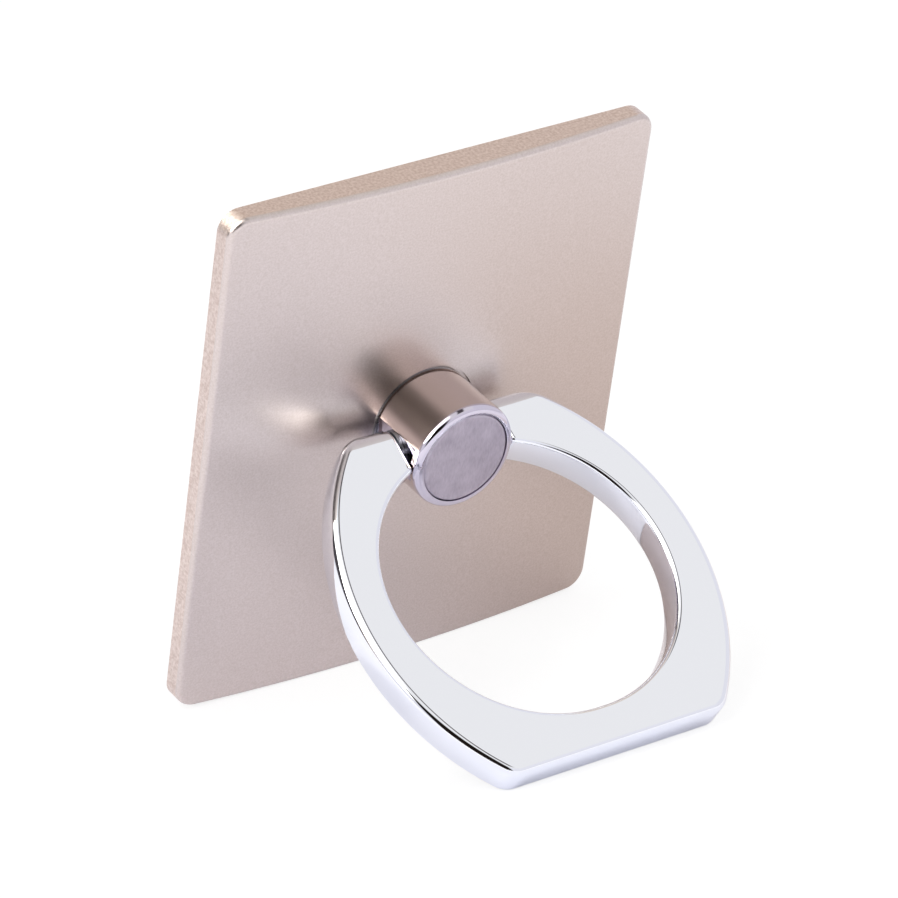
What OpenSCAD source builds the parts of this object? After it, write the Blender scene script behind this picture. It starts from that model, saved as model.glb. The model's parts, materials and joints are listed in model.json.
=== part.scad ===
// Finger ring phone holder: a crowned metal plate that sticks to the back of a phone, a post that
// swivels in it, and a ring that folds on the post and props the phone up.
//
// Every piece is drawn in the plate's frame: x across the plate, y up it, z out of its front, with
// z = 0 on the back. stand() then leans the whole holder until the plate's lower front edge and the
// ring's foot meet the table.

/* [Base plate] */
// Width of the plate
plate_w = 35; // [32:0.5:45]
// Height of the plate
plate_h = 40; // [38:0.5:55]
// Thickness of the plate at the crest of its crown
plate_t = 2.4; // [2.2:0.05:4]
// Radius of the crown that bows the front across the width
crown_r = 167; // [150:1:500]
// Radius of the plate's four corners
corner_r = 1.5; // [1:0.1:4]
// Width of the bevel round the front edge
bevel = 0.3; // [0.2:0.05:0.6]

/* [Adhesive pad] */
// Border of bare metal left round the pad
pad_border = 1; // [0.6:0.1:3]
// Depth of the recess that the pad lies in
pad_recess = 0.4; // [0.2:0.05:0.5]
// Thickness of the pad
pad_t = 0.8; // [0.6:0.05:1.5]

/* [Post] */
// Radius of the post's drum
post_r = 4.05; // [3.8:0.01:5]
// Height of the post's end above the hinge axis
post_rise = 3.1; // [3:0.01:5]
// Rounding of the post's outer end
post_round = 0.5; // [0.3:0.05:0.55]
// Depth of the two flats beside the ring's ends
flat_depth = 0.22; // [0.1:0.01:0.4]
// Height of the full round rim left above the flats
rim_h = 0.8; // [0.6:0.05:1]
// Radius of the disc let into the post's end
disc_r = 3.41; // [2.5:0.01:3.45]
// Thickness of the disc
disc_t = 0.5; // [0.3:0.05:0.7]

/* [Swivel] */
// Radius of the post's stem
stem_r = 1.5; // [1.2:0.05:1.8]
// Radius of the head peened on the stem's end
head_r = 2.2; // [2:0.05:2.6]
// Thickness of that head
head_t = 0.3; // [0.2:0.05:0.35]
// Radius of the washers behind the plate
washer_r = 3.1; // [2.8:0.05:4]
// Thickness of the backing washer
backing_t = 0.3; // [0.2:0.05:0.35]
// Height of the cone spring washer
spring_h = 0.4; // [0.3:0.05:0.45]
// Metal thickness of the cone spring washer
spring_t = 0.2; // [0.1:0.05:0.25]
// Depth of the spot face round the post
spot_depth = 0.25; // [0.22:0.01:0.35]
// Thickness of the thrust washer under the drum
thrust_t = 0.2; // [0.15:0.01:0.2]

/* [Hinge] */
// Radius of the hinge pin
pin_r = 0.75; // [0.6:0.01:0.85]
// Depth of the pin's blind hole in each ring end
pin_hole = 2.2; // [1.5:0.1:2.6]
// Thickness of the thin friction washer at each ring end
friction_t = 0.25; // [0.25:0.01:0.5]
// Angle of the ring from folded flat down the plate
ring_angle = 64; // [50:1:80]

/* [Ring] */
// Thickness of the ring
ring_t = 2.7; // [2.4:0.1:3.4]
// Radius of the finger hole
hole_r = 10.55; // [10:0.05:12.5]
// Shift of that round to each side, which makes the hole wider than it is high
hole_spread = 0.3; // [0.1:0.05:1]
// Distance from the hinge axis to the hole's nearest point
hole_drop = 1.8; // [1:0.05:3]
// Wall beside the hole at its widest
side_wall = 3.1; // [2.4:0.1:4]
// Radius of the two side arcs
side_arc_r = 18.6; // [17.5:0.05:22]
// Distance of the arcs' centres past the hole's centre
side_arc_drop = 0.6; // [0:0.1:1.5]
// Wall between the hole and the flat foot
foot_wall = 2.95; // [2:0.05:3.5]
// Corner radius at each end of the foot
foot_corner = 1.8; // [1:0.1:2.5]
// Corner radius on both sides of each ring end
end_corner = 0.7; // [0.7:0.05:1]
// Rounding of the ring's outer edges
ring_edge = 0.55; // [0.3:0.05:0.65]
// Rounding of the hole's edges
hole_edge = 0.38; // [0.15:0.01:0.5]
// Rounding of the edges along the slot between the ring ends
slot_edge = 0.37; // [0.2:0.01:0.6]

/* [Clearances] */
// Running clearance of a shaft in its bore, on the radius
run_gap = 0.03; // [0.02:0.01:0.06]
// Gap of a piece pressed or glued into its seat, on the radius
seat_gap = 0.01; // [0.01:0.01:0.03]
// Gap between faces that turn on each other
face_gap = 0.03; // [0.02:0.01:0.05]
// Gap on each side of a friction washer
side_gap = 0.02; // [0.01:0.01:0.05]
// Gap round the drum in its spot face
spot_gap = 0.23; // [0.15:0.01:0.4]
// Gap between the plate and the ring's ends as they swing
swing_gap = 0.78; // [0.25:0.01:1]
// Gap round the disc in the post's end
disc_gap = 0.05; // [0.03:0.01:0.08]
// Gap of a washer round the stem, on the radius
washer_gap = 0.1; // [0.05:0.01:0.2]
// Gap round the washers in the well behind the plate
well_gap = 0.3; // [0.2:0.05:0.6]
// How far a washer's rim stays inside the face that it bears on
washer_inset = 0.05; // [0.02:0.01:0.2]
// Gap past each end of the hinge pin
end_play = 0.1; // [0.05:0.01:0.3]

/* [Hidden] */
$fn = 128;
// Facets of the crown, whose radius is many times the plate's size
crown_fn = 960;
// Overshoot of a cut past the face it opens
past = 1;
// Depth by which a corner's bevel dips below the edges that it joins, so that it always cuts
dip = 0.02;

// Plate
function crown_z(x) = plate_t - crown_r + sqrt(crown_r * crown_r - x * x);
side_z = crown_z(plate_w / 2);
corner_x = plate_w / 2 - corner_r;
corner_y = plate_h / 2 - corner_r;
corner_tilt = atan2(crown_z(corner_x) - side_z, corner_r);
pad_w = plate_w - 2 * pad_border;
pad_h = plate_h - 2 * pad_border;
pad_corner = max(corner_r - pad_border, 0.5);
pad_proud = pad_t - pad_recess;

// Stack behind the plate, from the pad outwards
head_z = pad_recess + face_gap;
backing_z = head_z + head_t;
spring_z = backing_z + backing_t;
web_z = spring_z + spring_h + face_gap;
well_r = washer_r + well_gap;

// Post
spot_z = plate_t - spot_depth;
drum_z = spot_z + thrust_t + 2 * face_gap;
half = ring_t / 2;
hinge_z = plate_t + swing_gap + half;
post_z = hinge_z + post_rise;
flat_x = post_r - flat_depth;
flat_top = post_z - rim_h;
// Roundings of the drum's lower edge and of the peened head's two edges
drum_round = 0.12;
head_under = 0.15;
head_over = 0.1;

// Hinge and ring, in the ring's own frame: origin on the hinge axis, foot towards -y
slot_x = flat_x + friction_t + 2 * side_gap;
friction_r = half - washer_inset;
hole_y = -hole_drop - hole_r;
foot_y = hole_y - hole_r - foot_wall;
arc_x = side_arc_r - hole_r - hole_spread - side_wall;
arc_y = hole_y - side_arc_drop;
// Half width of a side arc shrunk by r, at height y
function side_x(y, r) = sqrt(pow(side_arc_r - r, 2) - pow(y - arc_y, 2)) - arc_x;

// Stance: the lean at which the foot's rounded edge and the plate's lower front edge meet one plane
foot_c = foot_y + ring_edge;
foot_d = ring_edge - half;
foot_up = foot_c * cos(ring_angle) + foot_d * sin(ring_angle) + plate_h / 2;
foot_out = hinge_z - foot_c * sin(ring_angle) + foot_d * cos(ring_angle) - (plate_t - bevel);
lean = acos(ring_edge / norm([foot_up, foot_out])) - atan2(foot_out, foot_up);
stand_z = plate_h / 2 * cos(lean) + (plate_t - bevel) * sin(lean);
reach_front = hinge_z * cos(lean) - foot_c * sin(ring_angle - lean) - foot_d * cos(ring_angle - lean)
    + ring_edge;
reach_back = max(pad_h / 2 * sin(lean) + pad_proud * cos(lean), plate_h / 2 * sin(lean));
stand_y = (reach_front - reach_back) / 2;

// Leans the holder into its standing pose, centred over the origin
module stand() {
    translate([0, stand_y, stand_z]) rotate([90 + lean, 0, 0]) children();
}

// Turns a piece of the ring from folded flat to its angle on the post
module on_hinge() {
    translate([0, 0, hinge_z]) rotate([-ring_angle, 0, 0]) children();
}

module mirrored() {
    children();
    mirror([1, 0, 0]) children();
}

// What a round of radius r leaves of a square corner, with the round's centre at the origin
module corner_waste(r) {
    difference() {
        square(r + past);
        circle(r);
    }
}

module rounded_rect(w, h, r) {
    difference() {
        square([w, h], center = true);
        for (sx = [0, 1], sy = [0, 1])
            mirror([sx, 0]) mirror([0, sy]) translate([w / 2 - r, h / 2 - r]) corner_waste(r);
    }
}

// Half section of a disc from z0 to z1 with rounded outer edges, r0 below and r1 above
module rim_section(r, z0, z1, r0, r1) {
    difference() {
        translate([0, z0]) square([r, z1 - z0]);
        translate([r - r1, z1 - r1]) corner_waste(r1);
        translate([r - r0, z0 + r0]) mirror([0, 1]) corner_waste(r0);
    }
}

module washer(outer, inner, t) {
    difference() {
        cylinder(r = outer, h = t);
        translate([0, 0, -past]) cylinder(r = inner, h = t + 2 * past);
    }
}

// Crown: a barrel lying along y, coned at both ends for the bevel of the upper and lower edges
module crown() {
    translate([0, plate_h / 2, plate_t - crown_r]) rotate([90, 0, 0]) {
        cylinder(r1 = crown_r - bevel, r2 = crown_r, h = bevel, $fn = crown_fn);
        translate([0, 0, bevel]) cylinder(r = crown_r, h = plate_h - 2 * bevel, $fn = crown_fn);
        translate([0, 0, plate_h - bevel])
            cylinder(r1 = crown_r, r2 = crown_r - bevel, h = bevel, $fn = crown_fn);
    }
}

// Section across the plate with both side edges bevelled
module side_bevels() {
    low = side_z - bevel;
    rise = plate_t;
    rotate([90, 0, 0]) linear_extrude(height = plate_h + 2 * past, center = true)
        polygon([
            [-plate_w / 2, -past], [plate_w / 2, -past], [plate_w / 2, low],
            [plate_w / 2 - rise, low + rise], [rise - plate_w / 2, low + rise], [-plate_w / 2, low],
        ]);
}

// What the bevel takes off one rounded corner: a cone whose rim follows the crown's slope
module corner_bevel() {
    rim_z = side_z - bevel - dip;
    spread = 2 * plate_t;
    translate([corner_x, corner_y, 0]) difference() {
        cube([corner_r + past, corner_r + past, plate_t + past]);
        translate([corner_r, 0, rim_z]) rotate([0, corner_tilt, 0])
            translate([-corner_r, 0, -spread])
                cylinder(r1 = corner_r + spread, r2 = corner_r - 2 * bevel, h = spread + 2 * bevel);
    }
}

module base_plate() {
    color("#CDC1BD") stand() difference() {
        intersection() {
            linear_extrude(height = plate_t + past) rounded_rect(plate_w, plate_h, corner_r);
            crown();
            side_bevels();
        }
        for (sx = [0, 1], sy = [0, 1])
            mirror([sx, 0, 0]) mirror([0, sy, 0]) corner_bevel();
        translate([0, 0, -past]) linear_extrude(height = pad_recess + past)
            rounded_rect(pad_w + 2 * seat_gap, pad_h + 2 * seat_gap, pad_corner);
        cylinder(r = well_r, h = web_z);
        cylinder(r = stem_r + run_gap, h = plate_t + past);
        translate([0, 0, spot_z]) cylinder(r = post_r + spot_gap, h = plate_t);
    }
}

module adhesive_pad() {
    color("#3A3A3C") stand() translate([0, 0, -pad_proud])
        linear_extrude(height = pad_t) rounded_rect(pad_w, pad_h, pad_corner);
}

module thrust_washer() {
    color("#D9DBDF") stand() translate([0, 0, spot_z])
        washer(post_r - washer_inset, stem_r + washer_gap, thrust_t);
}

module swivel_post() {
    color("#B9B2B2") stand() difference() {
        rotate_extrude() {
            rim_section(head_r, head_z, backing_z, head_under, head_over);
            translate([0, head_z]) square([stem_r, drum_z + drum_round - head_z]);
            rim_section(post_r, drum_z, post_z, drum_round, post_round);
        }
        translate([0, 0, post_z - disc_t]) cylinder(r = disc_r + disc_gap, h = disc_t + past);
        translate([0, 0, hinge_z]) rotate([0, 90, 0])
            cylinder(r = pin_r + run_gap, h = 2 * post_r + 2 * past, center = true);
        mirrored() translate([flat_x, -post_r, spot_z])
            cube([post_r, 2 * post_r, flat_top - spot_z]);
    }
}

module end_disc() {
    color("#A39BA8") stand() translate([0, 0, post_z - disc_t])
        cylinder(r = disc_r, h = disc_t);
}

// Cone spring washer, its wide end against the plate
module spring_washer() {
    inner = stem_r + washer_gap;
    rise = spring_h - spring_t;
    color("#8F9297") stand() translate([0, 0, spring_z]) rotate_extrude()
        polygon([
            [inner, 0], [washer_r, rise], [washer_r, rise + spring_t], [inner, spring_t],
        ]);
}

module backing_washer() {
    color("#8F9297") stand() translate([0, 0, backing_z])
        washer(washer_r, stem_r + seat_gap, backing_t);
}

module hinge_pin() {
    reach = slot_x + pin_hole - end_play;
    color("#C9CBD0") stand() on_hinge() rotate([0, 90, 0])
        cylinder(r = pin_r, h = 2 * reach, center = true);
}

module friction_washer() {
    translate([flat_x + side_gap, 0, 0]) rotate([0, 90, 0])
        washer(friction_r, pin_r + seat_gap, friction_t);
}

module friction_washer_left() {
    color("#E6E8EC") stand() on_hinge() mirror([1, 0, 0]) friction_washer();
}

module friction_washer_right() {
    color("#E6E8EC") stand() on_hinge() friction_washer();
}

// Section of the ring from its ends, which are rounded about the hinge axis, to its foot
module ring_slab() {
    rotate([90, 0, 90]) linear_extrude(height = 4 * (hole_r + side_wall), center = true) {
        circle(half);
        difference() {
            translate([foot_y, -half]) square([-foot_y, ring_t]);
            for (s = [0, 1])
                mirror([0, s]) translate([foot_y + ring_edge, half - ring_edge]) mirror([1, 0])
                    corner_waste(ring_edge);
        }
    }
}

// Disc of the ring's thickness whose edges are rounded by edge
module pill(r, edge) {
    rotate_extrude() rim_section(r, -half, half, edge, edge);
}

// Moves to the centre of the round of radius r between the side arc and a straight edge at y;
// way is -1 for the foot and 1 for the ring's end
module at_corner(r, y, way) {
    translate([side_x(y - way * r, r), y - way * r, 0]) children();
}

// Wedge of the ring between the two radii that bound such a round
module corner_wedge(r, y, way) {
    centre = [side_x(y - way * r, r), y - way * r];
    out = (centre - [-arc_x, arc_y]) / (side_arc_r - r);
    up = [0, way];
    length = r + past;
    at_corner(r, y, way) linear_extrude(height = ring_t + past, center = true)
        polygon([[0, 0], out * length, (out + up) * length, up * length]);
}

// Ring before its hole and slot, with its foot corners cut back to the wedges
module ring_blank() {
    difference() {
        intersection() {
            translate([-arc_x, arc_y, 0]) pill(side_arc_r, ring_edge);
            translate([arc_x, arc_y, 0]) pill(side_arc_r, ring_edge);
            ring_slab();
        }
        mirrored() corner_wedge(foot_corner, foot_y, -1);
        mirrored() difference() {
            corner_wedge(end_corner, half, 1);
            at_corner(end_corner, half, 1) pill(end_corner, ring_edge);
        }
    }
    mirrored() intersection() {
        corner_wedge(foot_corner, foot_y, -1);
        at_corner(foot_corner, foot_y, -1) pill(foot_corner, ring_edge);
    }
}

// Half section of a cut through the ring that reaches out to x, its two edges rounded
module cut_section(x, edge) {
    translate([0, -half - past]) square([x, ring_t + 2 * past]);
    for (s = [0, 1]) mirror([0, s]) translate([x, half - edge]) difference() {
        square([edge, edge + past]);
        translate([edge, 0]) circle(edge);
    }
}

module finger_hole() {
    translate([0, hole_y, 0]) {
        mirrored() translate([hole_spread, 0, 0]) rotate_extrude() cut_section(hole_r, hole_edge);
        rotate([90, 0, 90]) linear_extrude(height = 2 * hole_spread, center = true) mirrored()
            cut_section(hole_r, hole_edge);
    }
}

// Slot that lets the post in between the ring's ends, whose corners beside it are rounded too
module end_slot() {
    inner = half - end_corner;
    translate([0, half + past, 0]) rotate([90, 0, 0])
        linear_extrude(height = half + past - hole_y) mirrored() cut_section(slot_x, slot_edge);
    mirrored() difference() {
        translate([slot_x - past, inner, -half - past])
            cube([end_corner + past, end_corner + past, ring_t + 2 * past]);
        translate([slot_x + end_corner, inner, 0]) pill(end_corner, slot_edge);
    }
}

module finger_ring() {
    color("#E6E8EC") stand() on_hinge() difference() {
        ring_blank();
        finger_hole();
        end_slot();
        rotate([0, 90, 0])
            cylinder(r = pin_r + seat_gap, h = 2 * (slot_x + pin_hole), center = true);
    }
}

base_plate();
adhesive_pad();
thrust_washer();
swivel_post();
end_disc();
spring_washer();
backing_washer();
hinge_pin();
friction_washer_left();
friction_washer_right();
finger_ring();
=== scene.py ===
"""Finger ring phone holder: champagne plate, nickel post and chrome ring, dressed for the studio.

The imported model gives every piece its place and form. The plate, the post with its disc, and the
ring are skinned again here with finer faces and exact normals, because polished metal shows every
facet. Sizes are in millimetres, in the frame of the plate (x across, y up it, z out of its front, 0
on its back) or of the ring (origin on the hinge, foot towards -y, z out of the near face).
"""

import json
import logging
import math
from dataclasses import dataclass, field
from enum import Enum
from typing import Any

import bpy
from mathutils import Matrix, Quaternion, Vector


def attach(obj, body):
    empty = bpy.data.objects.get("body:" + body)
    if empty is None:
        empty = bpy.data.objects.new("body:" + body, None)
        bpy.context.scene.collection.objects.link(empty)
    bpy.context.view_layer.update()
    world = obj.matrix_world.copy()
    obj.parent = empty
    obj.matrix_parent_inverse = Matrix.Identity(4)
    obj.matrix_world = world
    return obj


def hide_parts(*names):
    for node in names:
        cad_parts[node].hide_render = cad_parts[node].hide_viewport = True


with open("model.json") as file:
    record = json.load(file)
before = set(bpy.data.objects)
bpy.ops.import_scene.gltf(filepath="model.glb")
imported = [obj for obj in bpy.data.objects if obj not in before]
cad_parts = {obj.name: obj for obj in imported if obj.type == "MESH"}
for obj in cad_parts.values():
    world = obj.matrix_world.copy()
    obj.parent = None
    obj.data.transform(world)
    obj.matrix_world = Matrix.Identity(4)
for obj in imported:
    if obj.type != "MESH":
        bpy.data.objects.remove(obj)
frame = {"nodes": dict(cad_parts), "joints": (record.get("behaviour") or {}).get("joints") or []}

LOG = logging.getLogger("phone_holder")
MM = 0.001
SENSOR_MM = 36.0
WELD_MM = 1e-4
POINT_MM = 1e-6
QUARTER = math.pi / 2
UP = Vector((0, 0, 1))

Tree = bpy.types.NodeTree
Node = bpy.types.Node
Socket = bpy.types.NodeSocket
Material = bpy.types.Material
Corner = tuple[Vector, Vector]


class Ray(Enum):
    """Outputs of the light path node that the studio tells apart."""

    CAMERA = "Is Camera Ray"
    GLOSSY = "Is Glossy Ray"
    TRANSMISSION = "Is Transmission Ray"


def linear(hex_colour: str) -> tuple[float, float, float, float]:
    """Turns an sRGB hex colour into linear values.

    Args:
        hex_colour: Colour as "#RRGGBB".

    Returns:
        Linear red, green and blue, and an alpha of 1.
    """
    parts = [int(hex_colour[i:i + 2], 16) / 255 for i in (1, 3, 5)]
    curved = [p / 12.92 if p <= 0.04045 else ((p + 0.055) / 1.055) ** 2.4 for p in parts]
    return (curved[0], curved[1], curved[2], 1.0)


def add_node(
    tree: Tree,
    kind: str,
    settings: dict[str, Any] | None = None,
    links: dict[str | int, Any] | None = None,
) -> Node:
    """Adds a node with its settings, and fills or links its inputs.

    Args:
        tree: Node tree that takes the node.
        kind: Node type, such as "ShaderNodeMath".
        settings: Attributes of the node.
        links: Input names or numbers, each with a value or with the socket that feeds it.

    Returns:
        The new node.
    """
    node = tree.nodes.new(kind)
    for name, value in (settings or {}).items():
        setattr(node, name, value)
    for key, value in (links or {}).items():
        if isinstance(value, Socket):
            tree.links.new(value, node.inputs[key])
        else:
            node.inputs[key].default_value = value
    return node


class Axes(Enum):
    """Frames that a piece or a finish can be laid out in."""

    PLATE = "plate"
    RING = "ring"


@dataclass(frozen=True)
class Holder:
    """Where the post and the ring stand, read from the model's own joints."""

    swivel: Vector
    post_axis: Vector
    hinge: Vector
    ring_angle: float

    @classmethod
    def from_joints(cls, joints: list[dict[str, Any]]) -> "Holder":
        """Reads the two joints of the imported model.

        Args:
            joints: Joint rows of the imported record.

        Returns:
            The places and directions that the pieces and finishes are laid out by.
        """
        rows = {row["name"]: row for row in joints}
        return cls(
            swivel=Vector(rows["swivel"]["pos_m"]),
            post_axis=Vector(rows["swivel"]["axis"]),
            hinge=Vector(rows["ring_fold"]["pos_m"]),
            ring_angle=math.radians(rows["ring_fold"]["range_deg"][1]),
        )

    @property
    def hinge_height(self) -> float:
        """Height of the hinge above the plate's back, in mm."""
        return (self.hinge - self.swivel).length / MM

    def turn(self, axes: Axes) -> float:
        """Angle about X of a frame, from one that lies flat with its z axis up.

        Args:
            axes: Frame of the plate or of the ring.

        Returns:
            Angle in radians.
        """
        leaning = math.atan2(-self.post_axis.y, self.post_axis.z)
        return leaning - (self.ring_angle if axes is Axes.RING else 0.0)

    def origin(self, axes: Axes) -> Vector:
        """Origin of a frame.

        Args:
            axes: Frame of the plate or of the ring.

        Returns:
            Place in metres.
        """
        return self.hinge if axes is Axes.RING else self.swivel


HOLDER = Holder.from_joints(frame["joints"])


def piece_mm(tree: Tree, axes: Axes) -> Socket:
    """Gives shader coordinates in millimetres in the frame of the plate or of the ring.

    Args:
        tree: Node tree of the material.
        axes: Frame to lay the finish out in.

    Returns:
        Vector socket of the place on the piece.
    """
    coords = add_node(tree, "ShaderNodeTexCoord")
    return add_node(tree, "ShaderNodeMapping", {"vector_type": "TEXTURE"}, {
        "Vector": coords.outputs["Object"],
        "Location": HOLDER.origin(axes),
        "Rotation": (HOLDER.turn(axes), 0.0, 0.0),
        "Scale": (MM, MM, MM),
    }).outputs["Vector"]


@dataclass(frozen=True, kw_only=True)
class Finish:
    """What every finish has: the name of the real material and the socket values it starts from."""

    name: str
    colour: str
    roughness: float
    metallic: float = 1.0

    def build(self) -> Material:
        """Makes the material with its shader and its patterns.

        Returns:
            The material.
        """
        material = bpy.data.materials.new(self.name)
        material.use_nodes = True
        tree = material.node_tree
        tree.nodes.clear()
        shader = add_node(tree, "ShaderNodeBsdfPrincipled", {}, {
            "Base Color": linear(self.colour),
            "Metallic": self.metallic,
            "Roughness": self.roughness,
        })
        add_node(tree, "ShaderNodeOutputMaterial", {}, {"Surface": shader.outputs[0]})
        self.draw(tree, shader)
        return material

    def draw(self, tree: Tree, shader: Node) -> None:
        """Draws the finish's own patterns. Each finish does this in its way.

        Args:
            tree: Node tree of the material.
            shader: Its principled shader.
        """
        raise NotImplementedError

    def vary_roughness(self, tree: Tree, shader: Node, pattern: Socket, spread: float) -> None:
        """Lets a pattern make the surface smoother and rougher than it is on the whole.

        Args:
            tree: Node tree of the material.
            shader: Its principled shader.
            pattern: Pattern between 0 and 1.
            spread: Largest change of the roughness, either way.
        """
        rough = add_node(tree, "ShaderNodeMapRange", {}, {
            "Value": pattern,
            "To Min": self.roughness - spread,
            "To Max": self.roughness + spread,
        })
        tree.links.new(rough.outputs["Result"], shader.inputs["Roughness"])

    @staticmethod
    def blend_colours(
        tree: Tree,
        shader: Node,
        pattern: Socket,
        span: tuple[float, float],
        colours: tuple[str, str],
    ) -> None:
        """Lets a pattern take the surface from one colour to another.

        Args:
            tree: Node tree of the material.
            shader: Its principled shader.
            pattern: Pattern to follow.
            span: Values of the pattern where the first colour ends and where the second is full.
            colours: Both colours as "#RRGGBB".
        """
        share = add_node(tree, "ShaderNodeMapRange", {}, {
            "Value": pattern,
            "From Min": span[0],
            "From Max": span[1],
        })
        colour = add_node(tree, "ShaderNodeMix", {"data_type": "RGBA"}, {
            "Factor": share.outputs["Result"],
            6: linear(colours[0]),
            7: linear(colours[1]),
        })
        tree.links.new(colour.outputs[2], shader.inputs["Base Color"])


@dataclass(frozen=True, kw_only=True)
class GrainyFinish(Finish):
    """Finish whose grain shows in two tones and as a fine relief.

    The grain takes the surface from its shade to its colour between the two values of tones.
    """

    shade: str
    tones: tuple[float, float]
    grain_mm: float
    grain_depth_mm: float
    detail: float = 2.0
    relief: float = 1.0

    def draw(self, tree: Tree, shader: Node) -> None:
        """Draws the grain.

        Args:
            tree: Node tree of the material.
            shader: Its principled shader.
        """
        grain = add_node(tree, "ShaderNodeTexNoise", {}, {
            "Vector": piece_mm(tree, Axes.PLATE),
            "Scale": 1.0 / self.grain_mm,
            "Detail": self.detail,
        }).outputs["Fac"]
        self.blend_colours(tree, shader, grain, self.tones, (self.shade, self.colour))
        bump = add_node(tree, "ShaderNodeBump", {}, {
            "Strength": self.relief,
            "Distance": self.grain_depth_mm * MM,
            "Height": grain,
        })
        tree.links.new(bump.outputs["Normal"], shader.inputs["Normal"])


@dataclass(frozen=True)
class SatinCoat(GrainyFinish):
    """Satin metallic lacquer, baked on a zinc casting: an even, soft sheen with fine flake.

    Real flake is about 0.03 mm across and is drawn coarser here, so that it shows.
    """

    name: str = "zinc_casting_satin_champagne_lacquer"
    colour: str = "#DBD0CC"
    shade: str = "#CFC3BD"
    roughness: float = 0.3
    spread: float = 0.03
    tones: tuple[float, float] = (0.7, 0.3)
    grain_mm: float = 0.14
    grain_depth_mm: float = 0.0035
    cloud_mm: float = 9.0

    def draw(self, tree: Tree, shader: Node) -> None:
        """Draws the flake and the coat's soft clouds.

        Args:
            tree: Node tree of the material.
            shader: Its principled shader.
        """
        super().draw(tree, shader)
        cloud = add_node(tree, "ShaderNodeTexNoise", {}, {
            "Vector": piece_mm(tree, Axes.PLATE),
            "Scale": 1.0 / self.cloud_mm,
        })
        self.vary_roughness(tree, shader, cloud.outputs["Fac"], self.spread)


@dataclass(frozen=True)
class BlastedEdge(GrainyFinish):
    """The plate's cast side walls, blasted under the same lacquer: a sandy, darker champagne.

    Real blasting grit leaves pits of about 0.1 mm, drawn twice as coarse so that they show.
    """

    name: str = "zinc_casting_blasted_champagne_edge"
    colour: str = "#E6D8D1"
    shade: str = "#D0BEB5"
    roughness: float = 0.46
    tones: tuple[float, float] = (0.35, 0.65)
    grain_mm: float = 0.2
    grain_depth_mm: float = 0.014
    detail: float = 3.0


@dataclass(frozen=True)
class FoamTape(GrainyFinish):
    """Acrylic foam tape: soft dark grey with a matt skin, slightly pitted by its cells."""

    name: str = "acrylic_foam_tape"
    colour: str = "#434346"
    shade: str = "#333335"
    metallic: float = 0.0
    roughness: float = 0.75
    tones: tuple[float, float] = (0.0, 1.0)
    grain_mm: float = 0.22
    grain_depth_mm: float = 0.03
    detail: float = 4.0
    relief: float = 0.6


@dataclass(frozen=True, kw_only=True)
class UnevenMetal(Finish):
    """Metal whose gloss varies by a fine grain, which the tool may have drawn out to lines."""

    spread: float
    grain_mm: float
    stretch: tuple[float, float, float] = (1.0, 1.0, 1.0)
    axes: Axes = Axes.PLATE

    def draw(self, tree: Tree, shader: Node) -> None:
        """Draws the grain.

        Args:
            tree: Node tree of the material.
            shader: Its principled shader.
        """
        drawn_out = add_node(tree, "ShaderNodeMapping", {}, {
            "Vector": piece_mm(tree, self.axes),
            "Scale": self.stretch,
        })
        grain = add_node(tree, "ShaderNodeTexNoise", {}, {
            "Vector": drawn_out.outputs["Vector"],
            "Scale": 1.0 / self.grain_mm,
        })
        self.vary_roughness(tree, shader, grain.outputs["Fac"], self.spread)


@dataclass(frozen=True)
class TurnedNickel(UnevenMetal):
    """Turned steel, satin nickel plated: a soft warm grey with fine lines round the post."""

    name: str = "turned_steel_satin_nickel_plate"
    colour: str = "#CFC0BB"
    roughness: float = 0.15
    spread: float = 0.04
    grain_mm: float = 0.09
    stretch: tuple[float, float, float] = (0.08, 0.08, 1.0)


@dataclass(frozen=True)
class BuffedNickel(UnevenMetal):
    """The same plating buffed bright, on the post's flats and rim: a lilac-grey, hazy mirror."""

    name: str = "turned_steel_buffed_nickel_plate"
    colour: str = "#D2CCD9"
    roughness: float = 0.07
    spread: float = 0.035
    grain_mm: float = 0.8


@dataclass(frozen=True)
class RolledSteel(UnevenMetal):
    """Bare rolled steel of the washers and the pin: grey, a little uneven."""

    name: str = "rolled_steel_bare"
    colour: str = "#A9ABB0"
    roughness: float = 0.3
    spread: float = 0.1
    grain_mm: float = 0.3


@dataclass(frozen=True)
class MirrorChrome(UnevenMetal):
    """Bright chrome plate on a polished zinc casting: a cool mirror with a faint orange peel.

    Its broad grain is the haze that the buffing leaves.
    """

    name: str = "zinc_casting_polished_chrome_plate"
    colour: str = "#EDEFF4"
    roughness: float = 0.04
    spread: float = 0.016
    grain_mm: float = 12.5
    axes: Axes = Axes.RING
    peel_mm: float = 2.5
    peel_depth_mm: float = 0.0012

    def draw(self, tree: Tree, shader: Node) -> None:
        """Draws the haze and the peel.

        Args:
            tree: Node tree of the material.
            shader: Its principled shader.
        """
        super().draw(tree, shader)
        peel = add_node(tree, "ShaderNodeTexNoise", {}, {
            "Vector": piece_mm(tree, self.axes),
            "Scale": 1.0 / self.peel_mm,
            "Detail": 0.0,
        })
        bump = add_node(tree, "ShaderNodeBump", {}, {
            "Distance": self.peel_depth_mm * MM,
            "Height": peel.outputs["Fac"],
        })
        tree.links.new(bump.outputs["Normal"], shader.inputs["Normal"])


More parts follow.
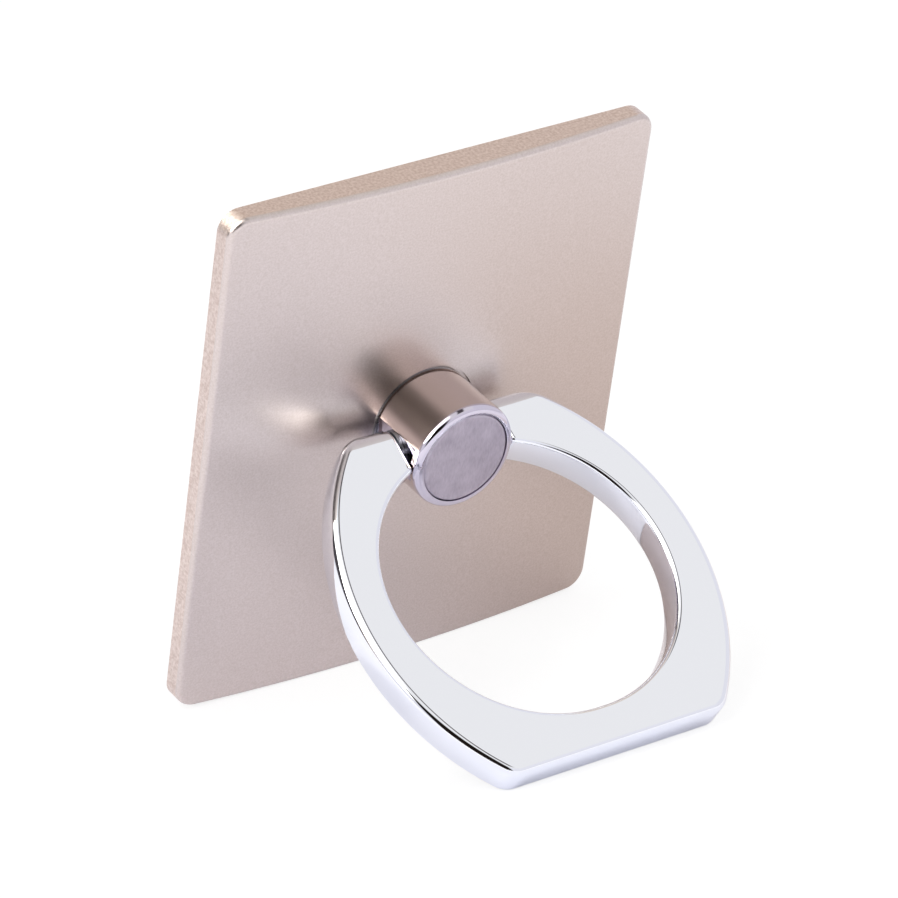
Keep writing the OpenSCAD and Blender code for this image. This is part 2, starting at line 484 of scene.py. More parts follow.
@dataclass(frozen=True)
class SatinDisc(Finish):
    """Stainless disc, fine brushed and pickled: a lilac-grey satin face with short soft streaks."""

    name: str = "stainless_disc_fine_brushed"
    colour: str = "#C5BDC9"
    shade: str = "#A9A1AE"
    roughness: float = 0.38
    spread: float = 0.08
    streak_mm: float = 0.12
    streak_angle: float = 12.0
    streak_stretch: tuple[float, float, float] = (1.0, 0.3, 1.0)
    mottles_per_streak: float = 0.11
    mottle_span: tuple[float, float] = (0.6, 1.4)

    def draw(self, tree: Tree, shader: Node) -> None:
        """Draws the streaks and the broad mottle under them.

        Args:
            tree: Node tree of the material.
            shader: Its principled shader.
        """
        place = piece_mm(tree, Axes.PLATE)
        drawn_out = add_node(tree, "ShaderNodeMapping", {}, {
            "Vector": place,
            "Rotation": (0.0, 0.0, math.radians(self.streak_angle)),
            "Scale": self.streak_stretch,
        })
        streak = add_node(tree, "ShaderNodeTexNoise", {}, {
            "Vector": drawn_out.outputs["Vector"],
            "Scale": 1.0 / self.streak_mm,
            "Detail": 2.0,
        }).outputs["Fac"]
        mottle = add_node(tree, "ShaderNodeTexNoise", {}, {
            "Vector": place,
            "Scale": self.mottles_per_streak / self.streak_mm,
        })
        both = add_node(tree, "ShaderNodeMath", {"operation": "ADD"}, {
            0: streak,
            1: mottle.outputs["Fac"],
        }).outputs[0]
        self.blend_colours(tree, shader, both, self.mottle_span, (self.shade, self.colour))
        self.vary_roughness(tree, shader, streak, self.spread)


@dataclass
class Skin:
    """Faces of one piece, welded where they meet, each corner with its surface's exact normal."""

    points: list[Vector] = field(default_factory=list)
    known: dict[tuple[int, ...], int] = field(default_factory=dict)
    faces: list[list[int]] = field(default_factory=list)
    normals: list[Vector] = field(default_factory=list)
    finishes: list[int] = field(default_factory=list)

    def weld(self, point: Vector) -> int:
        """Finds the number of a point, and keeps the point if it is new.

        Args:
            point: Place in mm.

        Returns:
            Number of the point.
        """
        key = tuple(round(c / WELD_MM) for c in point)
        if key not in self.known:
            self.known[key] = len(self.points)
            self.points.append(point)
        return self.known[key]

    def face(self, corners: list[Corner], finish: int) -> None:
        """Adds one face, turned the way its normals point.

        Args:
            corners: Places with their normals, in order round the face.
            finish: Number of the finish that the face takes.
        """
        kept: dict[int, Vector] = {}
        for point, normal in corners:
            kept.setdefault(self.weld(point), normal)
        if len(kept) < 3:
            return
        ring = list(kept)
        first, second, third = (self.points[i] for i in (ring[0], ring[1], ring[-1]))
        outward = sum(kept.values(), Vector())
        if (second - first).cross(third - first).dot(outward) < 0:
            ring.reverse()
        self.faces.append(ring)
        self.normals.extend(kept[i] for i in ring)
        self.finishes.append(finish)

    def net(self, rows: list[list[Corner]], finish: int = 0) -> None:
        """Spans faces between rows that have the same number of corners.

        Args:
            rows: Rows of places with their normals.
            finish: Number of the finish that the faces take.
        """
        for near, far in zip(rows, rows[1:]):
            for i in range(len(near) - 1):
                self.face([near[i], near[i + 1], far[i + 1], far[i]], finish)

    def piece(self, node: str, body: str, slot: str, axes: Axes, materials: list[Material]) -> None:
        """Makes the piece that stands for a node of the model.

        Args:
            node: Node that the piece replaces.
            body: Body that the piece rides on.
            slot: Slot of the record that its finish comes from. Not used.
            axes: Frame that the points are in.
            materials: Its finishes, in the order of their numbers.
        """
        turn = Matrix.Rotation(HOLDER.turn(axes), 3, "X")
        origin = HOLDER.origin(axes)
        mesh = bpy.data.meshes.new(f"{node}_skin")
        mesh.from_pydata([origin + turn @ (MM * p) for p in self.points], [], self.faces)
        for material in materials:
            mesh.materials.append(material)
        mesh.polygons.foreach_set("use_smooth", [True] * len(self.faces))
        mesh.polygons.foreach_set("material_index", self.finishes)
        mesh.normals_split_custom_set([(turn @ n).normalized() for n in self.normals])
        piece = bpy.data.objects.new(f"{node}_skin", mesh)
        bpy.context.scene.collection.objects.link(piece)
        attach(piece, body)
        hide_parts(node)
        LOG.info("%s: %d faces", piece.name, len(self.faces))


def sweep(start: float, stop: float, steps: int) -> list[float]:
    """Divides the stretch between two numbers evenly.

    Args:
        start: First number.
        stop: Last number.
        steps: Number of parts.

    Returns:
        The numbers, both ends among them.
    """
    return [start + (stop - start) * i / steps for i in range(steps + 1)]


def heading(angle: float) -> Vector:
    """Level direction at an angle in radians."""
    return Vector((math.cos(angle), math.sin(angle), 0))


def dress(node: str, material: Material) -> None:
    """Gives a node of the model its material.

    Args:
        node: Name of the node.
        material: Finish of the whole node.
    """
    piece = frame["nodes"][node]
    piece.data.materials.clear()
    piece.data.materials.append(material)
    LOG.info("%s is dressed in %s", node, material.name)


def turned(profile: list[tuple[float, float, float]], angles: list[float]) -> list[list[Corner]]:
    """Turns a profile about the post's axis.

    Args:
        profile: Radius, height and the normal's angle above level, in mm and radians.
        angles: Angles about the axis, in radians.

    Returns:
        One row of places with normals for each point of the profile.
    """
    rows = []
    for radius, height, slope in profile:
        row = []
        for angle in angles:
            out = heading(angle)
            normal = math.cos(slope) * out + math.sin(slope) * UP
            row.append((radius * out + height * UP, normal))
        rows.append(row)
    return rows


@dataclass
class BasePlate:
    """Crowned plate with its foam tape and the washer under the post."""

    width: float = 35.0
    height: float = 40.0
    crest: float = 2.4
    crown: float = 167.0
    corner: float = 1.5
    edge: float = 0.4
    recess_border: float = 0.99
    recess: float = 0.4
    recess_corner: float = 0.5
    well_radius: float = 3.4
    web: float = 1.46
    bore: float = 1.53
    spot_radius: float = 4.28
    spot: float = 2.15
    corner_steps: int = 12
    side_steps: int = 30
    edge_steps: int = 8
    face_steps: int = 16
    coat: SatinCoat = field(default_factory=SatinCoat)
    side: BlastedEdge = field(default_factory=BlastedEdge)
    tape: FoamTape = field(default_factory=FoamTape)

    def crown_height(self, x: float) -> float:
        """Height of the crowned front at a distance from the middle, in mm."""
        return self.crest - self.crown + math.sqrt(self.crown ** 2 - x ** 2)

    def crown_normal(self, x: float) -> Vector:
        """Normal of the crowned front at a distance from the middle."""
        return Vector((x, 0, math.sqrt(self.crown ** 2 - x ** 2))).normalized()

    def outline(self, border: float, corner: float) -> list[Corner]:
        """Walks round the plate, inside its edge by a border.

        Args:
            border: Distance inside the plate's edge.
            corner: Radius of the corners.

        Returns:
            Places at height 0 with their outward normals, and the first one again at the end.
        """
        half_w, half_h = self.width / 2 - border - corner, self.height / 2 - border - corner
        walk = []
        signs = [(1, 1), (-1, 1), (-1, -1), (1, -1)]
        for quarter, (sx, sy) in enumerate(signs):
            centre = Vector((sx * half_w, sy * half_h, 0))
            for angle in sweep(quarter * 90, quarter * 90 + 90, self.corner_steps):
                out = heading(math.radians(angle))
                walk.append((centre + corner * out, out))
            nx, ny = signs[(quarter + 1) % 4]
            ahead = Vector((nx * half_w, ny * half_h, 0))
            for share in sweep(0, 1, self.side_steps)[1:-1]:
                walk.append((centre.lerp(ahead, share) + corner * out, out))
        return walk + walk[:1]

    def front(self, skin: Skin) -> None:
        """Spans the side wall, the rounded edge and the crowned face up to the spot face.

        Args:
            skin: Skin of the plate.
        """
        walk = self.outline(0.0, self.corner)
        rows: list[list[Corner]] = [[(point, out) for point, out in walk]]
        for slope in sweep(0.0, QUARTER, self.edge_steps):
            row = []
            for point, out in walk:
                inner = point - self.edge * out
                up = self.crown_normal(inner.x)
                rise = self.crown_height(inner.x) - self.edge + self.edge * math.sin(slope)
                place = point - self.edge * (1 - math.cos(slope)) * out
                normal = math.cos(slope) * out + math.sin(slope) * up
                row.append((Vector((place.x, place.y, rise)), normal))
            rows.append(row)
        skin.net(rows[:2], finish=1)
        skin.net(rows[1:])
        brim = [point for point, _ in rows[-1]]
        face = []
        for share in sweep(0.0, 1.0, self.face_steps):
            row = []
            for point in brim:
                out = Vector((point.x, point.y)).normalized()
                flat = Vector((point.x, point.y)).lerp(self.spot_radius * out, share)
                place = Vector((flat.x, flat.y, self.crown_height(flat.x)))
                row.append((place, self.crown_normal(flat.x)))
            face.append(row)
        skin.net(face)
        self.spot_face(skin, [point for point, _ in face[-1]])

    def spot_face(self, skin: Skin, rim: list[Vector]) -> None:
        """Sinks the spot face and the bore, down to the well behind them.

        Args:
            skin: Skin of the plate.
            rim: Where the spot face's wall meets the crowned face.
        """
        down = -UP
        outs = [Vector((p.x, p.y, 0)).normalized() for p in rim]
        foot = [self.spot_radius * out + self.spot * UP for out in outs]
        skin.net([[(p, -o) for p, o in zip(rim, outs)], [(p, -o) for p, o in zip(foot, outs)]])
        bore = [[self.bore * out + z * UP for out in outs] for z in (self.spot, self.web)]
        skin.net([[(p, UP) for p in foot], [(p, UP) for p in bore[0]]])
        skin.net([[(p, -o) for p, o in zip(row, outs)] for row in bore])
        well = [[self.well_radius * out + z * UP for out in outs] for z in (self.web, self.recess)]
        skin.net([[(p, down) for p in bore[1]], [(p, down) for p in well[0]]])
        skin.net([[(p, -o) for p, o in zip(row, outs)] for row in well])
        inner = self.outline(self.recess_border, self.recess_corner)
        floor = [(p + self.recess * UP, down) for p, _ in inner]
        skin.net([[(p, down) for p in well[1]], floor])
        skin.net([[(p + self.recess * UP, -o) for p, o in inner], [(p, -o) for p, o in inner]])
        outer = self.outline(0.0, self.corner)
        skin.net([[(p, down) for p, _ in inner], [(p, down) for p, _ in outer]])

    def build(self, steel: Material) -> None:
        """Builds the plate and dresses what lies on it.

        Args:
            steel: Finish of the washer.
        """
        skin = Skin()
        self.front(skin)
        finishes = [self.coat.build(), self.side.build()]
        skin.piece("base_plate", "plate", "plate_finish", Axes.PLATE, finishes)
        dress("adhesive_pad", self.tape.build())
        dress("thrust_washer", steel)


@dataclass
class SwivelPost:
    """Post with the disc in its end and the washers that hold it to the plate."""

    radius: float = 4.05
    flat: float = 3.83
    rim_height: float = 0.8
    rise: float = 3.1
    rounding: float = 0.5
    disc_radius: float = 3.45
    disc_gap: float = 0.01
    disc_thickness: float = 0.5
    disc_edge: float = 0.22
    drum_foot: float = 2.41
    stem: float = 1.5
    head: float = 2.2
    head_back: float = 0.43
    head_front: float = 0.73
    turned_steps: int = 60
    flat_steps: int = 8
    rim_steps: int = 10
    disc_edge_steps: int = 6
    side: TurnedNickel = field(default_factory=TurnedNickel)
    bright: BuffedNickel = field(default_factory=BuffedNickel)
    disc: SatinDisc = field(default_factory=SatinDisc)

    @property
    def top(self) -> float:
        """Height of the post's end above the plate's back."""
        return HOLDER.hinge_height + self.rise

    def sectors(self) -> list[tuple[int, list[float]]]:
        """Divides the post into its two flats and the rounds between them.

        Returns:
            For each sector, the side of its flat or 0 for a round, and the angles across it.
        """
        half = math.acos(self.flat / self.radius)
        turns = [
            (1, -half, half),
            (0, half, math.pi - half),
            (-1, math.pi - half, math.pi + half),
            (0, math.pi + half, 2 * math.pi - half),
        ]
        return [
            (way, sweep(start, stop, self.flat_steps if way else self.turned_steps))
            for way, start, stop in turns
        ]

    def drum(self, skin: Skin, way: int, angles: list[float]) -> None:
        """Spans one sector of the drum, from its foot to the rim.

        Args:
            skin: Skin of the post.
            way: Side of the sector's flat, or 0 for a round.
            angles: Angles across the sector.
        """
        ledge, shoulder = self.top - self.rim_height, self.top - self.rounding
        wall = turned([(self.radius, self.drum_foot, 0.0), (self.radius, ledge, 0.0)], angles)
        if way:
            out = Vector((way, 0, 0))
            wall = [[(Vector((way * self.flat, p.y, p.z)), out) for p, _ in row] for row in wall]
            brim = turned([(self.radius, ledge, -QUARTER)], angles)[0]
            skin.net([[(p, -UP) for p, _ in wall[1]], brim], finish=1)
        skin.net(wall, finish=1 if way else 0)
        stem_top = turned([(self.stem, self.drum_foot, -QUARTER)], angles)[0]
        skin.net([[(p, -UP) for p, _ in wall[0]], stem_top])
        skin.net(turned([(self.radius, ledge, 0.0), (self.radius, shoulder, 0.0)], angles))
        inner = self.radius - self.rounding
        crown = [
            (inner + self.rounding * math.cos(a), shoulder + self.rounding * math.sin(a), a)
            for a in sweep(0.0, QUARTER, self.rim_steps)
        ]
        seat = self.disc_radius + self.disc_gap
        crown.append((seat, self.top, QUARTER))
        skin.net(turned(crown, angles), finish=1)
        floor = self.top - self.disc_thickness
        skin.net(turned([(seat, self.top, math.pi), (seat, floor, math.pi)], angles), finish=1)
        skin.net(turned([(seat, floor, QUARTER), (0.0, floor, QUARTER)], angles))

    def stem_and_head(self, skin: Skin) -> None:
        """Spans the stem and the head peened on its end.

        Args:
            skin: Skin of the post.
        """
        corners = [
            (self.stem, self.drum_foot),
            (self.stem, self.head_front),
            (self.head, self.head_front),
            (self.head, self.head_back),
            (0.0, self.head_back),
        ]
        slopes = [0.0, QUARTER, 0.0, -QUARTER]
        for _, angles in self.sectors():
            for slope, start, stop in zip(slopes, corners, corners[1:]):
                skin.net(turned([(*start, slope), (*stop, slope)], angles))

    def end_disc(self) -> None:
        """Builds the disc, with its edge just broken."""
        angles = sweep(0.0, 2 * math.pi, 2 * self.turned_steps)
        back, brim = self.top - self.disc_thickness, self.disc_radius - self.disc_edge
        edge = [
            (brim + self.disc_edge * math.cos(a), self.top - self.disc_edge * (1 - math.sin(a)), a)
            for a in sweep(0.0, QUARTER, self.disc_edge_steps)
        ]
        skin = Skin()
        skin.net(turned([(self.disc_radius, back, 0.0)] + edge + [(0.0, self.top, QUARTER)], angles))
        skin.net(turned([(self.disc_radius, back, -QUARTER), (0.0, back, -QUARTER)], angles))
        skin.piece("end_disc", "post", "disc_satin", Axes.PLATE, [self.disc.build()])

    def build(self, steel: Material) -> None:
        """Builds the post and its disc, and dresses the washers.

        Args:
            steel: Finish of the washers.
        """
        skin = Skin()
        for way, angles in self.sectors():
            self.drum(skin, way, angles)
        self.stem_and_head(skin)
        finishes = [self.side.build(), self.bright.build()]
        skin.piece("swivel_post", "post", "post_nickel", Axes.PLATE, finishes)
        self.end_disc()
        dress("spring_washer", steel)
        dress("backing_washer", steel)


@dataclass
class FingerRing:
    """Ring with its hinge pin and the two friction washers.

    The polishing wheel leaves the walls a little domed, and wheel is that turn at their edges, in
    radians. The steps along the outer and the inner walk come to the same number.
    """

    thickness: float = 2.7
    hole: float = 10.55
    hole_spread: float = 0.3
    hole_centre: float = -12.35
    foot: float = -25.85
    arc: float = 18.6
    arc_x: float = 4.65
    arc_y: float = -12.95
    slot: float = 4.12
    outer_edge: float = 0.55
    slot_edge: float = 0.37
    hole_edge: float = 0.38
    foot_corner: float = 1.8
    slot_corner: float = 0.45
    wheel: float = 0.16
    end_steps: int = 28
    arm_steps: int = 8
    arc_steps: int = 102
    corner_steps: int = 12
    foot_steps: int = 36
    hole_foot_steps: int = 2
    edge_steps: int = 10
    chrome: MirrorChrome = field(default_factory=MirrorChrome)

    @property
    def half(self) -> float:
        """Half of the ring's thickness."""
        return self.thickness / 2

    @property
    def corner_y(self) -> float:
        """Height at which the slot's wall turns into the finger hole."""
        run = self.slot + self.slot_corner - self.hole_spread
        return self.hole_centre + math.sqrt((self.hole + self.slot_corner) ** 2 - run ** 2)

    def loop(self, outer: list[Corner], inner: list[Corner]) -> list[Corner]:
        """Closes one section of the ring from the near halves of its two edges.

        Args:
            outer: Outer edge, from the wall up to the near face.
            inner: Inner edge, from the wall up to the near face.

        Returns:
            The section's corners, and the first one again at the end.
        """
        near = outer + inner[::-1]
        far = [(Vector((p.x, p.y, -p.z)), Vector((n.x, n.y, -n.z))) for p, n in near]
        whole = near + far[::-1]
        return whole + whole[:1]

    def end_edge(self, y: float, edge: float, outside: bool) -> list[Corner]:
        """Half of one edge across a ring arm at height y, also where the arm's end is rounded.

        Args:
            y: Height above the hinge axis, towards the end.
            edge: Rounding of the edge.
            outside: True for the outer edge, False for the one along the slot.

        Returns:
            Corners from the wall up to the near face.
        """
        level = max(0.0, y)
        start = math.asin(max(0.0, min(1.0, (level - self.half + edge) / edge)))
        start = max(start, self.wheel)
        corners = []
        for angle in sweep(start, QUARTER, self.edge_steps):
            inset = edge * (1 - math.cos(angle))
            radius = self.half - edge * (1 - math.sin(angle))
            z = math.sqrt(max(0.0, radius ** 2 - level ** 2))
            x, out = self.slot + inset, Vector((-1, 0, 0))
            if outside:
                across = math.sqrt((self.arc - inset) ** 2 - (y - self.arc_y) ** 2)
                x, out = across - self.arc_x, Vector((across, y - self.arc_y, 0)).normalized()
            up = Vector((0, level, z)).normalized() if level else UP
            if radius < POINT_MM:
                up = Vector((0, 1, 0))
            normal = (math.cos(angle) * out + math.sin(angle) * up).normalized()
            corners.append((Vector((x, y, z)), normal))
        return corners

    def edge_at(self, point: Vector, out: Vector, edge: float) -> list[Corner]:
        """Half of one edge at a place of the plan outline.

        Args:
            point: Place on the outline.
            out: Outward normal there.
            edge: Rounding of the edge.

        Returns:
            Corners from the wall up to the near face.
        """
        corners = []
        for angle in sweep(self.wheel, QUARTER, self.edge_steps):
            place = point - edge * (1 - math.cos(angle)) * out
            z = self.half - edge * (1 - math.sin(angle))
            normal = math.cos(angle) * out + math.sin(angle) * UP
            corners.append((Vector((place.x, place.y, z)), normal))
        return corners

    @staticmethod
    def bend(centre: Vector, radius: float, start: float, stop: float, steps: int) -> list[Corner]:
        """Walks along an arc of the plan outline.

        Args:
            centre: Centre of the arc.
            radius: Radius, below 0 where the metal lies outside the arc.
            start: First angle in radians.
            stop: Last angle in radians.
            steps: Number of steps.

        Returns:
            Places with outward normals, without the first.
        """
        walk = []
        for angle in sweep(start, stop, steps)[1:]:
            out = heading(angle)
            walk.append((centre + abs(radius) * out, out if radius > 0 else -out))
        return walk

    def inner_walk(self) -> list[tuple[Vector, Vector, float]]:
        """Walks from the slot's corner along the finger hole to the middle of the foot.

        Returns:
            Places with outward normals and the rounding of the edge there.
        """
        heart = Vector((self.hole_spread, self.hole_centre, 0))
        centre = Vector((self.slot + self.slot_corner, self.corner_y, 0))
        back = heart - centre
        turn = math.atan2(back.y, back.x) + 2 * math.pi
        corner = self.bend(centre, self.slot_corner, math.pi, turn, self.corner_steps)
        hole_steps = self.arc_steps + self.foot_steps - self.hole_foot_steps
        hole = self.bend(heart, -self.hole, turn - math.pi, -QUARTER, hole_steps)
        middle = Vector((0, self.hole_centre - self.hole, 0))
        edges = sweep(self.slot_edge, self.hole_edge, self.corner_steps - 1)
        walk = [(p, n, edge) for (p, n), edge in zip(corner, edges)]
        walk += [(p, n, self.hole_edge) for p, n in hole]
        start = hole[-1][0]
        for share in sweep(0, 1, self.hole_foot_steps)[1:]:
            walk.append((start.lerp(middle, share), Vector((0, 1, 0)), self.hole_edge))
        return walk

    def outer_walk(self) -> list[tuple[Vector, Vector, float]]:
        """Walks down the side arc and round the foot's corner to the middle of the foot.

        Returns:
            Places with outward normals and the rounding of the edge there.
        """
        heart = Vector((-self.arc_x, self.arc_y, 0))
        corner_y = self.foot + self.foot_corner
        reach = math.sqrt((self.arc - self.foot_corner) ** 2 - (corner_y - self.arc_y) ** 2)
        centre = Vector((reach - self.arc_x, corner_y, 0))
        low = math.atan2(corner_y - self.arc_y, reach)
        high = math.asin((self.corner_y - self.arc_y) / self.arc)
        walk = self.bend(heart, self.arc, high, low, self.arc_steps)
        walk += self.bend(centre, self.foot_corner, low, -QUARTER, self.corner_steps)
        start, middle = walk[-1][0], Vector((0, self.foot, 0))
        shares = sweep(0, 1, self.foot_steps)[1:]
        walk += [(start.lerp(middle, share), Vector((0, -1, 0))) for share in shares]
        return [(p, n, self.outer_edge) for p, n in walk]

    def sections(self) -> list[list[Corner]]:
        """Lays sections from the end of one arm to the middle of the foot.

        Returns:
            The sections of the right half.
        """
        heights = [self.half * math.sin(a) for a in sweep(QUARTER, 0.0, self.end_steps)]
        heights += sweep(0.0, self.corner_y, self.arm_steps)[1:]
        rows = []
        for y in heights:
            outer = self.end_edge(y, self.outer_edge, True)
            rows.append(self.loop(outer, self.end_edge(y, self.slot_edge, False)))
        for out, inside in zip(self.outer_walk(), self.inner_walk()):
            rows.append(self.loop(self.edge_at(*out), self.edge_at(*inside)))
        return rows

    def build(self, steel: Material) -> None:
        """Builds the ring and dresses its pin and washers.

        Args:
            steel: Finish of the pin and the washers.
        """
        skin = Skin()
        rows = self.sections()
        skin.net(rows)
        flip = Matrix.Scale(-1, 3, Vector((1, 0, 0)))
        skin.net([[(flip @ p, flip @ n) for p, n in row] for row in rows])
        skin.piece("finger_ring", "ring", "ring_chrome", Axes.RING, [self.chrome.build()])
        dress("friction_washer_left", steel)
        dress("friction_washer_right", steel)
        dress("hinge_pin", steel)


@dataclass(frozen=True)
class RoomPart:
    """Part of the room as polished metal mirrors it, told by direction.

    Each fade names an axis, the value at which the part begins and the value at which it is full.
    """

    colour: str
    fades: tuple[tuple[str, float, float], ...]
    strength: float = 1.0


ROOM = {
    "pale_walls_low_down": RoomPart("#F3F2F9", (("Z", 0.6, 0.4),)),
    "pale_wall_at_the_right": RoomPart("#EFEEF5", (("X", 0.56, 0.66),)),
    "dim_gap_overhead": RoomPart(
        "#5A5558", (("X", 0.08, 0.15), ("X", 0.36, 0.29), ("Z", 0.6, 0.75), ("Y", 0.1, 0.0))
    ),
    "dark_place_of_the_camera": RoomPart(
        "#1E1816", (("X", -0.92, -0.84), ("X", -0.04, -0.18), ("Y", -0.4, -0.55), ("Z", 0.64, 0.56))
    ),
    "tan_wall_at_the_back": RoomPart("#E2D4C8", (("Y", 0.05, 0.25), ("X", 0.66, 0.58))),
    "dark_corner_at_the_left": RoomPart("#4E494D", (("Y", 0.2, 0.4), ("X", 0.15, -0.1))),
    "softbox_at_the_left": RoomPart(
        "#FFFDF6",
        (("X", -0.4, -0.52), ("Y", -0.52, -0.4), ("Y", 0.42, 0.3), ("Z", 0.3, 0.42)),
        strength=9.0,
    ),
    "softbox_overhead_at_the_left": RoomPart(
        "#FFFDF6",
        (("X", -0.1, -0.25), ("Y", -0.6, -0.46), ("Y", 0.62, 0.52), ("Z", 0.6, 0.68)),
        strength=3.5,
    ),
}


@dataclass(frozen=True)
class TableSpot:
    """Spot of painted shade on the table, which metal mirrors in another tone, full inside its edge.
    """

    colour: tuple[float, float, float]
    centre: tuple[float, float, float]
    edge: tuple[float, float]


# Painted shade on the table around the holder: mirrors and bounced light see it, the camera does
# not.
TABLE = {
    "shade_of_the_holder": TableSpot((0.88, 0.88, 0.95), (-0.004, -0.004, 0.0), (0.014, 0.04)),
    "shade_beside_the_ring": TableSpot((0.80, 0.80, 0.88), (-0.019, 0.002, 0.0), (0.004, 0.011)),
    "warm_shade_at_the_right": TableSpot((0.71, 0.63, 0.60), (0.035, 0.01, 0.0), (0.012, 0.042)),
}


@dataclass(frozen=True)
class Lamp:
    """Square soft box, aimed at the holder: place and size in metres, power in watts."""

    place: tuple[float, float, float]
    size: float
    power: float


LAMPS = {
    "left_softbox": Lamp((-0.40, -0.20, 0.36), 0.26, 1.3),
    "right_softbox": Lamp((0.35, -0.25, 0.50), 0.36, 0.4),
}


@dataclass
class Studio:
    """White room with a pale floor, soft boxes and a long lens. Places are in metres."""

    floor_radius: float = 3.0
    floor_sides: int = 96
    lens_mm: float = 246.13
    place: tuple[float, float, float] = (-0.22165, -0.32511, 0.16101)
    azimuth: float = 33.988
    drop: float = 19.879
    roll: float = -3.423
    seen_glow: float = 0.80
    mirrored_glow: float = 0.12
    table_edge: tuple[float, float] = (0.16, 0.40)
    seen_matt: float = 0.25
    mirrored_matt: tuple[float, float, float] = (0.97, 0.96, 1.0)
    softbox: str = "#F9F8F8"
    fill: float = 0.75
    lamp_aim: tuple[float, float, float] = (0.0, 0.0, 0.02)
    near_clip: float = 0.01

    def build(self) -> None:
        """Builds the floor, the light and the camera."""
        self.floor()
        self.world()
        self.lamps()
        self.camera()

    def camera(self) -> None:
        """Places the camera at the photograph's angle."""
        data = bpy.data.cameras.new("camera")
        data.lens = self.lens_mm
        data.sensor_width = SENSOR_MM
        data.clip_start = self.near_clip
        camera = bpy.data.objects.new("camera", data)
        bpy.context.scene.collection.objects.link(camera)
        azimuth, drop = math.radians(self.azimuth), math.radians(self.drop)
        ahead = Vector((
            math.sin(azimuth) * math.cos(drop),
            math.cos(azimuth) * math.cos(drop),
            -math.sin(drop),
        ))
        camera.rotation_mode = "QUATERNION"
        level = ahead.to_track_quat("-Z", "Y")
        camera.rotation_quaternion = level @ Quaternion((0, 0, 1), math.radians(self.roll))
        camera.location = self.place
        bpy.context.scene.camera = camera

    def floor(self) -> None:
        """Lays the pale floor, which keeps the holder's shadow."""
        bpy.ops.mesh.primitive_circle_add(
            vertices=self.floor_sides, radius=self.floor_radius, fill_type="NGON", location=(0, 0, 0)
        )
        floor = bpy.context.object
        floor.name = "floor"
        material = bpy.data.materials.new("white_table_laminate")
        material.use_nodes = True
        tree = material.node_tree
        tree.nodes.clear()
        matt_colour = add_node(tree, "ShaderNodeMix", {"data_type": "RGBA"}, {
            "Factor": add_node(tree, "ShaderNodeLightPath").outputs[Ray.CAMERA.value],
            6: self.mirrored_table(tree),
            7: (self.seen_matt, self.seen_matt, self.seen_matt, 1),
        })
        matt = add_node(tree, "ShaderNodeBsdfDiffuse", {}, {"Color": matt_colour.outputs[2]})
        glow = add_node(tree, "ShaderNodeEmission", {}, {
            "Color": (1, 1, 1, 1),
            "Strength": self.table_glow(tree),
        })
        both = add_node(tree, "ShaderNodeAddShader", {}, {
            0: matt.outputs[0],
            1: glow.outputs[0],
        })
        add_node(tree, "ShaderNodeOutputMaterial", {}, {"Surface": both.outputs[0]})
        floor.data.materials.append(material)

    def mirrored_table(self, tree: Tree) -> Socket:
        """Paints shade on the table as metal mirrors it, spot over spot.

        Args:
            tree: Node tree of the material.

        Returns:
            Colour of the table at each place.
        """
        place = add_node(tree, "ShaderNodeNewGeometry").outputs["Position"]
        colour: Any = (*self.mirrored_matt, 1)
        for name, spot in TABLE.items():
            away = add_node(tree, "ShaderNodeVectorMath", {"operation": "DISTANCE"}, {
                0: place,
                1: spot.centre,
            })
            outside = add_node(tree, "ShaderNodeMapRange", {"interpolation_type": "SMOOTHSTEP"}, {
                "Value": away.outputs["Value"],
                "From Min": spot.edge[0],
                "From Max": spot.edge[1],
            })
            colour = add_node(tree, "ShaderNodeMix", {"data_type": "RGBA", "label": name}, {
                "Factor": outside.outputs["Result"],
                6: (*spot.colour, 1),
                7: colour,
            }).outputs[2]
        return colour

    def table_glow(self, tree: Tree) -> Socket:
        """Gives the table's glow, which keeps it white to the camera and fades in mirrors far off.

        Args:
            tree: Node tree of the material.

        Returns:
            The strength for the rays of the camera, a mirror or glass, and 0 for light that fills.
        """
        path = add_node(tree, "ShaderNodeLightPath")
        place = add_node(tree, "ShaderNodeNewGeometry").outputs["Position"]
        away = add_node(tree, "ShaderNodeVectorMath", {"operation": "LENGTH"}, {0: place})
        near = add_node(tree, "ShaderNodeMapRange", {"interpolation_type": "SMOOTHSTEP"}, {
            "Value": away.outputs["Value"],
            "From Min": self.table_edge[0],
            "From Max": self.table_edge[1],
            "To Min": self.mirrored_glow,
            "To Max": 0.0,
        })
        through = add_node(tree, "ShaderNodeMath", {"operation": "MAXIMUM"}, {
            0: path.outputs[Ray.GLOSSY.value],
            1: path.outputs[Ray.TRANSMISSION.value],
        })
        mirrored = add_node(tree, "ShaderNodeMath", {"operation": "MULTIPLY"}, {
            0: through.outputs[0],
            1: near.outputs["Result"],
        })
        return add_node(tree, "ShaderNodeMath", {"operation": "MULTIPLY_ADD"}, {
            0: path.outputs[Ray.CAMERA.value],
            1: self.seen_glow,
            2: mirrored.outputs[0],
        }).outputs[0]

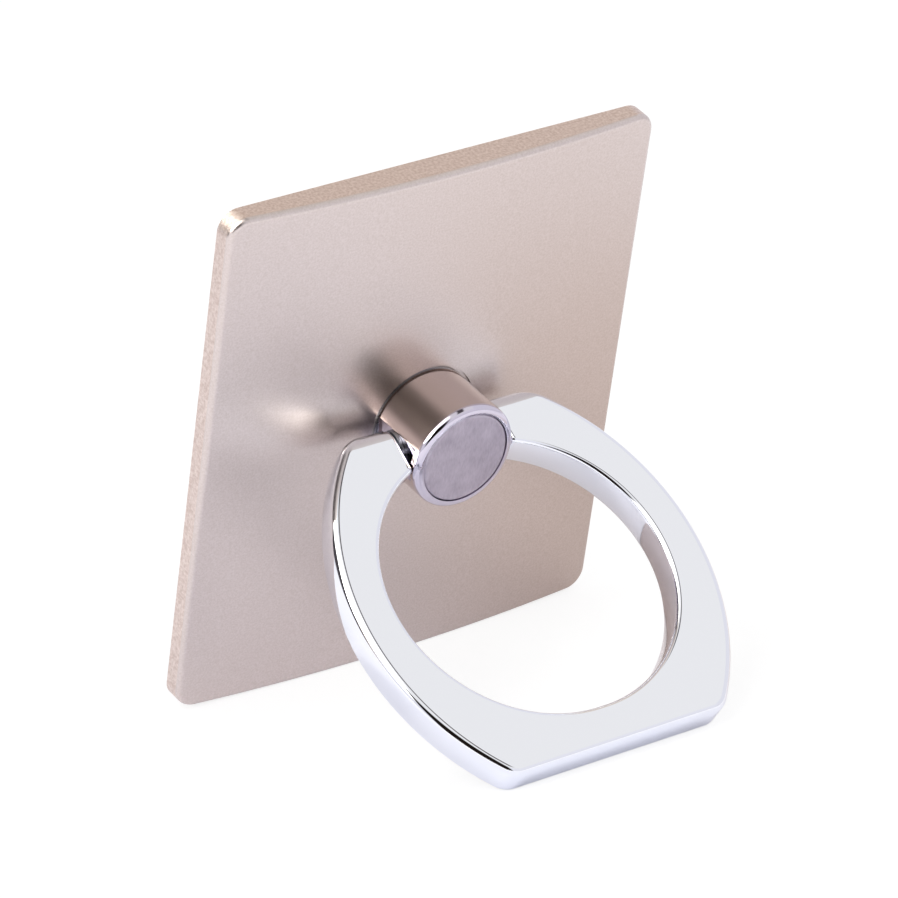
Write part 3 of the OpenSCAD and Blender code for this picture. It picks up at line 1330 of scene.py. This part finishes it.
    def room(self, tree: Tree) -> Socket:
        """Paints the room that polished metal mirrors, part over part.

        Args:
            tree: Node tree of the world.

        Returns:
            Colour of the room in each direction.
        """
        way = add_node(tree, "ShaderNodeTexCoord").outputs["Generated"]
        split = add_node(tree, "ShaderNodeSeparateXYZ", {}, {0: way})
        colour: Any = linear(self.softbox)
        for name, part in ROOM.items():
            share: Any = 1.0
            for axis, start, full in part.fades:
                fade = add_node(tree, "ShaderNodeMapRange", {"interpolation_type": "SMOOTHSTEP"}, {
                    "Value": split.outputs[axis],
                    "From Min": start,
                    "From Max": full,
                })
                share = add_node(tree, "ShaderNodeMath", {"operation": "MULTIPLY"}, {
                    0: share,
                    1: fade.outputs["Result"],
                }).outputs[0]
            lit = [part.strength * c for c in linear(part.colour)[:3]] + [1.0]
            colour = add_node(tree, "ShaderNodeMix", {"data_type": "RGBA", "label": name}, {
                "Factor": share,
                6: colour,
                7: lit,
            }).outputs[2]
        return colour

    def world(self) -> None:
        """Fills the room: white to the camera, and painted to what polished metal mirrors."""
        world = bpy.data.worlds.new("studio")
        bpy.context.scene.world = world
        world.use_nodes = True
        tree = world.node_tree
        tree.nodes.clear()
        path = add_node(tree, "ShaderNodeLightPath")
        mirrored = add_node(tree, "ShaderNodeBackground", {}, {"Color": self.room(tree)})
        white, fill = (
            add_node(tree, "ShaderNodeBackground", {}, {"Color": (1, 1, 1, 1), "Strength": strength})
            for strength in (1.0, self.fill)
        )
        indirect = add_node(tree, "ShaderNodeMixShader", {}, {
            0: path.outputs[Ray.GLOSSY.value],
            1: fill.outputs[0],
            2: mirrored.outputs[0],
        })
        both = add_node(tree, "ShaderNodeMixShader", {}, {
            0: path.outputs[Ray.CAMERA.value],
            1: indirect.outputs[0],
            2: white.outputs[0],
        })
        add_node(tree, "ShaderNodeOutputWorld", {}, {"Surface": both.outputs[0]})

    def lamps(self) -> None:
        """Hangs a soft box on each side, which the painted room shows to mirrors instead."""
        for name, box in LAMPS.items():
            data = bpy.data.lights.new(name, "AREA")
            data.size = box.size
            data.energy = box.power
            lamp = bpy.data.objects.new(name, data)
            bpy.context.scene.collection.objects.link(lamp)
            lamp.location = box.place
            lamp.visible_glossy = False
            aim = Vector(self.lamp_aim) - Vector(box.place)
            lamp.rotation_euler = aim.to_track_quat("-Z", "Y").to_euler()


def main() -> None:
    """Builds the holder and its studio."""
    logging.basicConfig(level=logging.INFO, format="%(name)s: %(message)s")
    bpy.context.scene.view_settings.view_transform = "Standard"
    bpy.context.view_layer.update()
    Studio().build()
    steel = RolledSteel().build()
    BasePlate().build(steel)
    SwivelPost().build(steel)
    FingerRing().build(steel)


if __name__ == "__main__":
    main()
